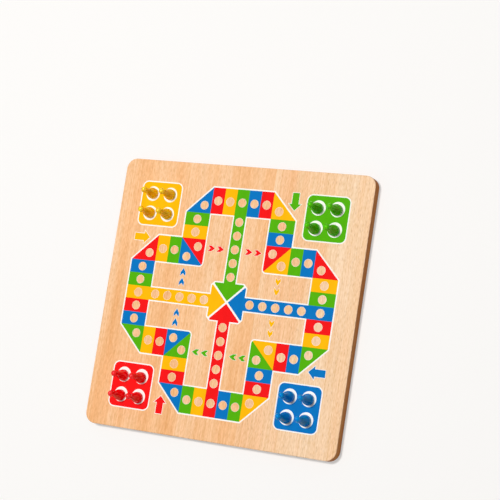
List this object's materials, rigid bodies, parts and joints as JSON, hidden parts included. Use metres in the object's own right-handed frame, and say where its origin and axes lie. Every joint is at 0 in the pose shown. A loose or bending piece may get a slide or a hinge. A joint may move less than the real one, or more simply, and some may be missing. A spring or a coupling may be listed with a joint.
{
  "type": "ludo and checkers board",
  "caption": "Square wooden game board with rounded corners and a steel sheet under its face, with magnetic pawns that lift off their home bases.",
  "frame": {"origin": "centre of the board's underside", "axes": "+Z out of the printed face, towards the pawns; +Y towards the top of the printed track, along the wood's grain; +X to the right"},
  "size_m": [0.3, 0.3, 0.0371],
  "materials": {
    "beech_veneer": "satin clear lacquer over printed ink",
    "beech_edge": "sanded, satin clear lacquer",
    "core_wood": "sawn, glued in",
    "sheet_steel": "zinc-coated sheet",
    "ferrite": "ground ferrite",
    "yellow_plastic": "moulded, glossy",
    "green_plastic": "moulded, glossy",
    "red_plastic": "moulded, glossy",
    "blue_plastic": "moulded, glossy"
  },
  "bodies": {
    "board": {"front_veneer_wide": "beech_veneer", "front_veneer_narrow": "beech_veneer", "back_veneer_wide": "beech_veneer", "back_veneer_narrow": "beech_veneer", "core_panel": "core_wood", "steel_sheet": "sheet_steel", "edge_rail_right": "beech_edge", "edge_rail_top": "beech_edge", "edge_rail_left": "beech_edge", "edge_rail_bottom": "beech_edge"},
    "yellow_pawn_1": {"pawn_yellow_1": "yellow_plastic", "magnet_yellow_1": "ferrite"},
    "yellow_pawn_2": {"pawn_yellow_2": "yellow_plastic", "magnet_yellow_2": "ferrite"},
    "yellow_pawn_3": {"pawn_yellow_3": "yellow_plastic", "magnet_yellow_3": "ferrite"},
    "yellow_pawn_4": {"pawn_yellow_4": "yellow_plastic", "magnet_yellow_4": "ferrite"},
    "green_pawn_1": {"pawn_green_1": "green_plastic", "magnet_green_1": "ferrite"},
    "green_pawn_2": {"pawn_green_2": "green_plastic", "magnet_green_2": "ferrite"},
    "green_pawn_3": {"pawn_green_3": "green_plastic", "magnet_green_3": "ferrite"},
    "green_pawn_4": {"pawn_green_4": "green_plastic", "magnet_green_4": "ferrite"},
    "red_pawn_1": {"pawn_red_1": "red_plastic", "magnet_red_1": "ferrite"},
    "red_pawn_2": {"pawn_red_2": "red_plastic", "magnet_red_2": "ferrite"},
    "red_pawn_3": {"pawn_red_3": "red_plastic", "magnet_red_3": "ferrite"},
    "red_pawn_4": {"pawn_red_4": "red_plastic", "magnet_red_4": "ferrite"},
    "blue_pawn_1": {"pawn_blue_1": "blue_plastic", "magnet_blue_1": "ferrite"},
    "blue_pawn_2": {"pawn_blue_2": "blue_plastic", "magnet_blue_2": "ferrite"},
    "blue_pawn_3": {"pawn_blue_3": "blue_plastic", "magnet_blue_3": "ferrite"},
    "blue_pawn_4": {"pawn_blue_4": "blue_plastic", "magnet_blue_4": "ferrite"}
  },
  "joints": [
    {"name": "yellow_pawn_1_lift", "type": "slide", "parent": "board", "child": "yellow_pawn_1", "axis": [0, 0, 1], "range_m": [0, 0.03]},
    {"name": "yellow_pawn_2_lift", "type": "slide", "parent": "board", "child": "yellow_pawn_2", "axis": [0, 0, 1], "range_m": [0, 0.03]},
    {"name": "yellow_pawn_3_lift", "type": "slide", "parent": "board", "child": "yellow_pawn_3", "axis": [0, 0, 1], "range_m": [0, 0.03]},
    {"name": "yellow_pawn_4_lift", "type": "slide", "parent": "board", "child": "yellow_pawn_4", "axis": [0, 0, 1], "range_m": [0, 0.03]},
    {"name": "green_pawn_1_lift", "type": "slide", "parent": "board", "child": "green_pawn_1", "axis": [0, 0, 1], "range_m": [0, 0.03]},
    {"name": "green_pawn_2_lift", "type": "slide", "parent": "board", "child": "green_pawn_2", "axis": [0, 0, 1], "range_m": [0, 0.03]},
    {"name": "green_pawn_3_lift", "type": "slide", "parent": "board", "child": "green_pawn_3", "axis": [0, 0, 1], "range_m": [0, 0.03]},
    {"name": "green_pawn_4_lift", "type": "slide", "parent": "board", "child": "green_pawn_4", "axis": [0, 0, 1], "range_m": [0, 0.03]},
    {"name": "red_pawn_1_lift", "type": "slide", "parent": "board", "child": "red_pawn_1", "axis": [0, 0, 1], "range_m": [0, 0.03]},
    {"name": "red_pawn_2_lift", "type": "slide", "parent": "board", "child": "red_pawn_2", "axis": [0, 0, 1], "range_m": [0, 0.03]},
    {"name": "red_pawn_3_lift", "type": "slide", "parent": "board", "child": "red_pawn_3", "axis": [0, 0, 1], "range_m": [0, 0.03]},
    {"name": "red_pawn_4_lift", "type": "slide", "parent": "board", "child": "red_pawn_4", "axis": [0, 0, 1], "range_m": [0, 0.03]},
    {"name": "blue_pawn_1_lift", "type": "slide", "parent": "board", "child": "blue_pawn_1", "axis": [0, 0, 1], "range_m": [0, 0.03]},
    {"name": "blue_pawn_2_lift", "type": "slide", "parent": "board", "child": "blue_pawn_2", "axis": [0, 0, 1], "range_m": [0, 0.03]},
    {"name": "blue_pawn_3_lift", "type": "slide", "parent": "board", "child": "blue_pawn_3", "axis": [0, 0, 1], "range_m": [0, 0.03]},
    {"name": "blue_pawn_4_lift", "type": "slide", "parent": "board", "child": "blue_pawn_4", "axis": [0, 0, 1], "range_m": [0, 0.03]}
  ]
}
